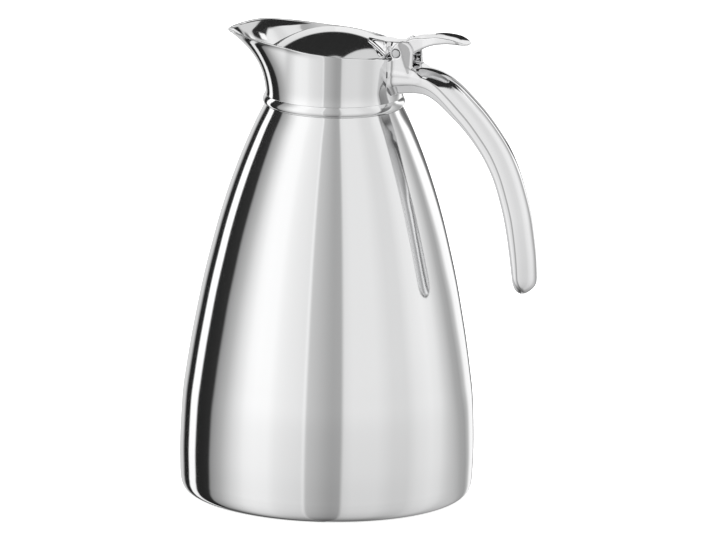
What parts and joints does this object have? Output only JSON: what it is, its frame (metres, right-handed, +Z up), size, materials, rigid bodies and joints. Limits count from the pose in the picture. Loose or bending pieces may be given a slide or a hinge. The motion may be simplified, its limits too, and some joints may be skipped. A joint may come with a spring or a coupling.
{
  "type": "vacuum carafe",
  "caption": "Double-wall vacuum carafe with a flared pouring spout, an open curved handle and a domed flip lid raised by a thumb lever.",
  "frame": {"origin": "centre of the flat ring the carafe rests on, on the axis of the body", "axes": "+Z up, -X towards the spout, +X towards the handle and the thumb lever; symmetric about Y = 0"},
  "size_m": [0.1752, 0.1418, 0.2278],
  "materials": {
    "polished_steel": "mirror-polished stainless steel",
    "cast_steel": "cast stainless steel, mirror-polished",
    "inner_steel": "satin stainless steel",
    "pin_steel": "turned stainless steel",
    "braze": "braze metal as melted",
    "getter": "sintered metal",
    "washer": "moulded nylon",
    "foam": "rigid insulating foam",
    "gasket": "translucent silicone rubber"
  },
  "bodies": {
    "carafe": {"outer_shell": "polished_steel", "shell_bottom": "inner_steel", "base_cover": "inner_steel", "inner_liner": "inner_steel", "liner_bottom": "inner_steel", "getter": "getter", "vacuum_seal_plug": "braze", "mouth_ring": "polished_steel", "neck_spout": "polished_steel", "neck_bead": "polished_steel", "handle": "cast_steel", "hinge_pin": "pin_steel", "hinge_washers": "washer"},
    "lid": {"thumb_lever": "cast_steel", "lid_dome": "polished_steel", "lid_screws": "pin_steel", "lid_inner_pan": "inner_steel", "lid_insulation": "foam", "lid_gasket": "gasket"}
  },
  "joints": [
    {"name": "lid_hinge", "type": "hinge", "parent": "carafe", "child": "lid", "pos_m": [0.0344, 0, 0.2188], "axis": [0, 1, 0], "range_deg": [0, 34]}
  ]
}
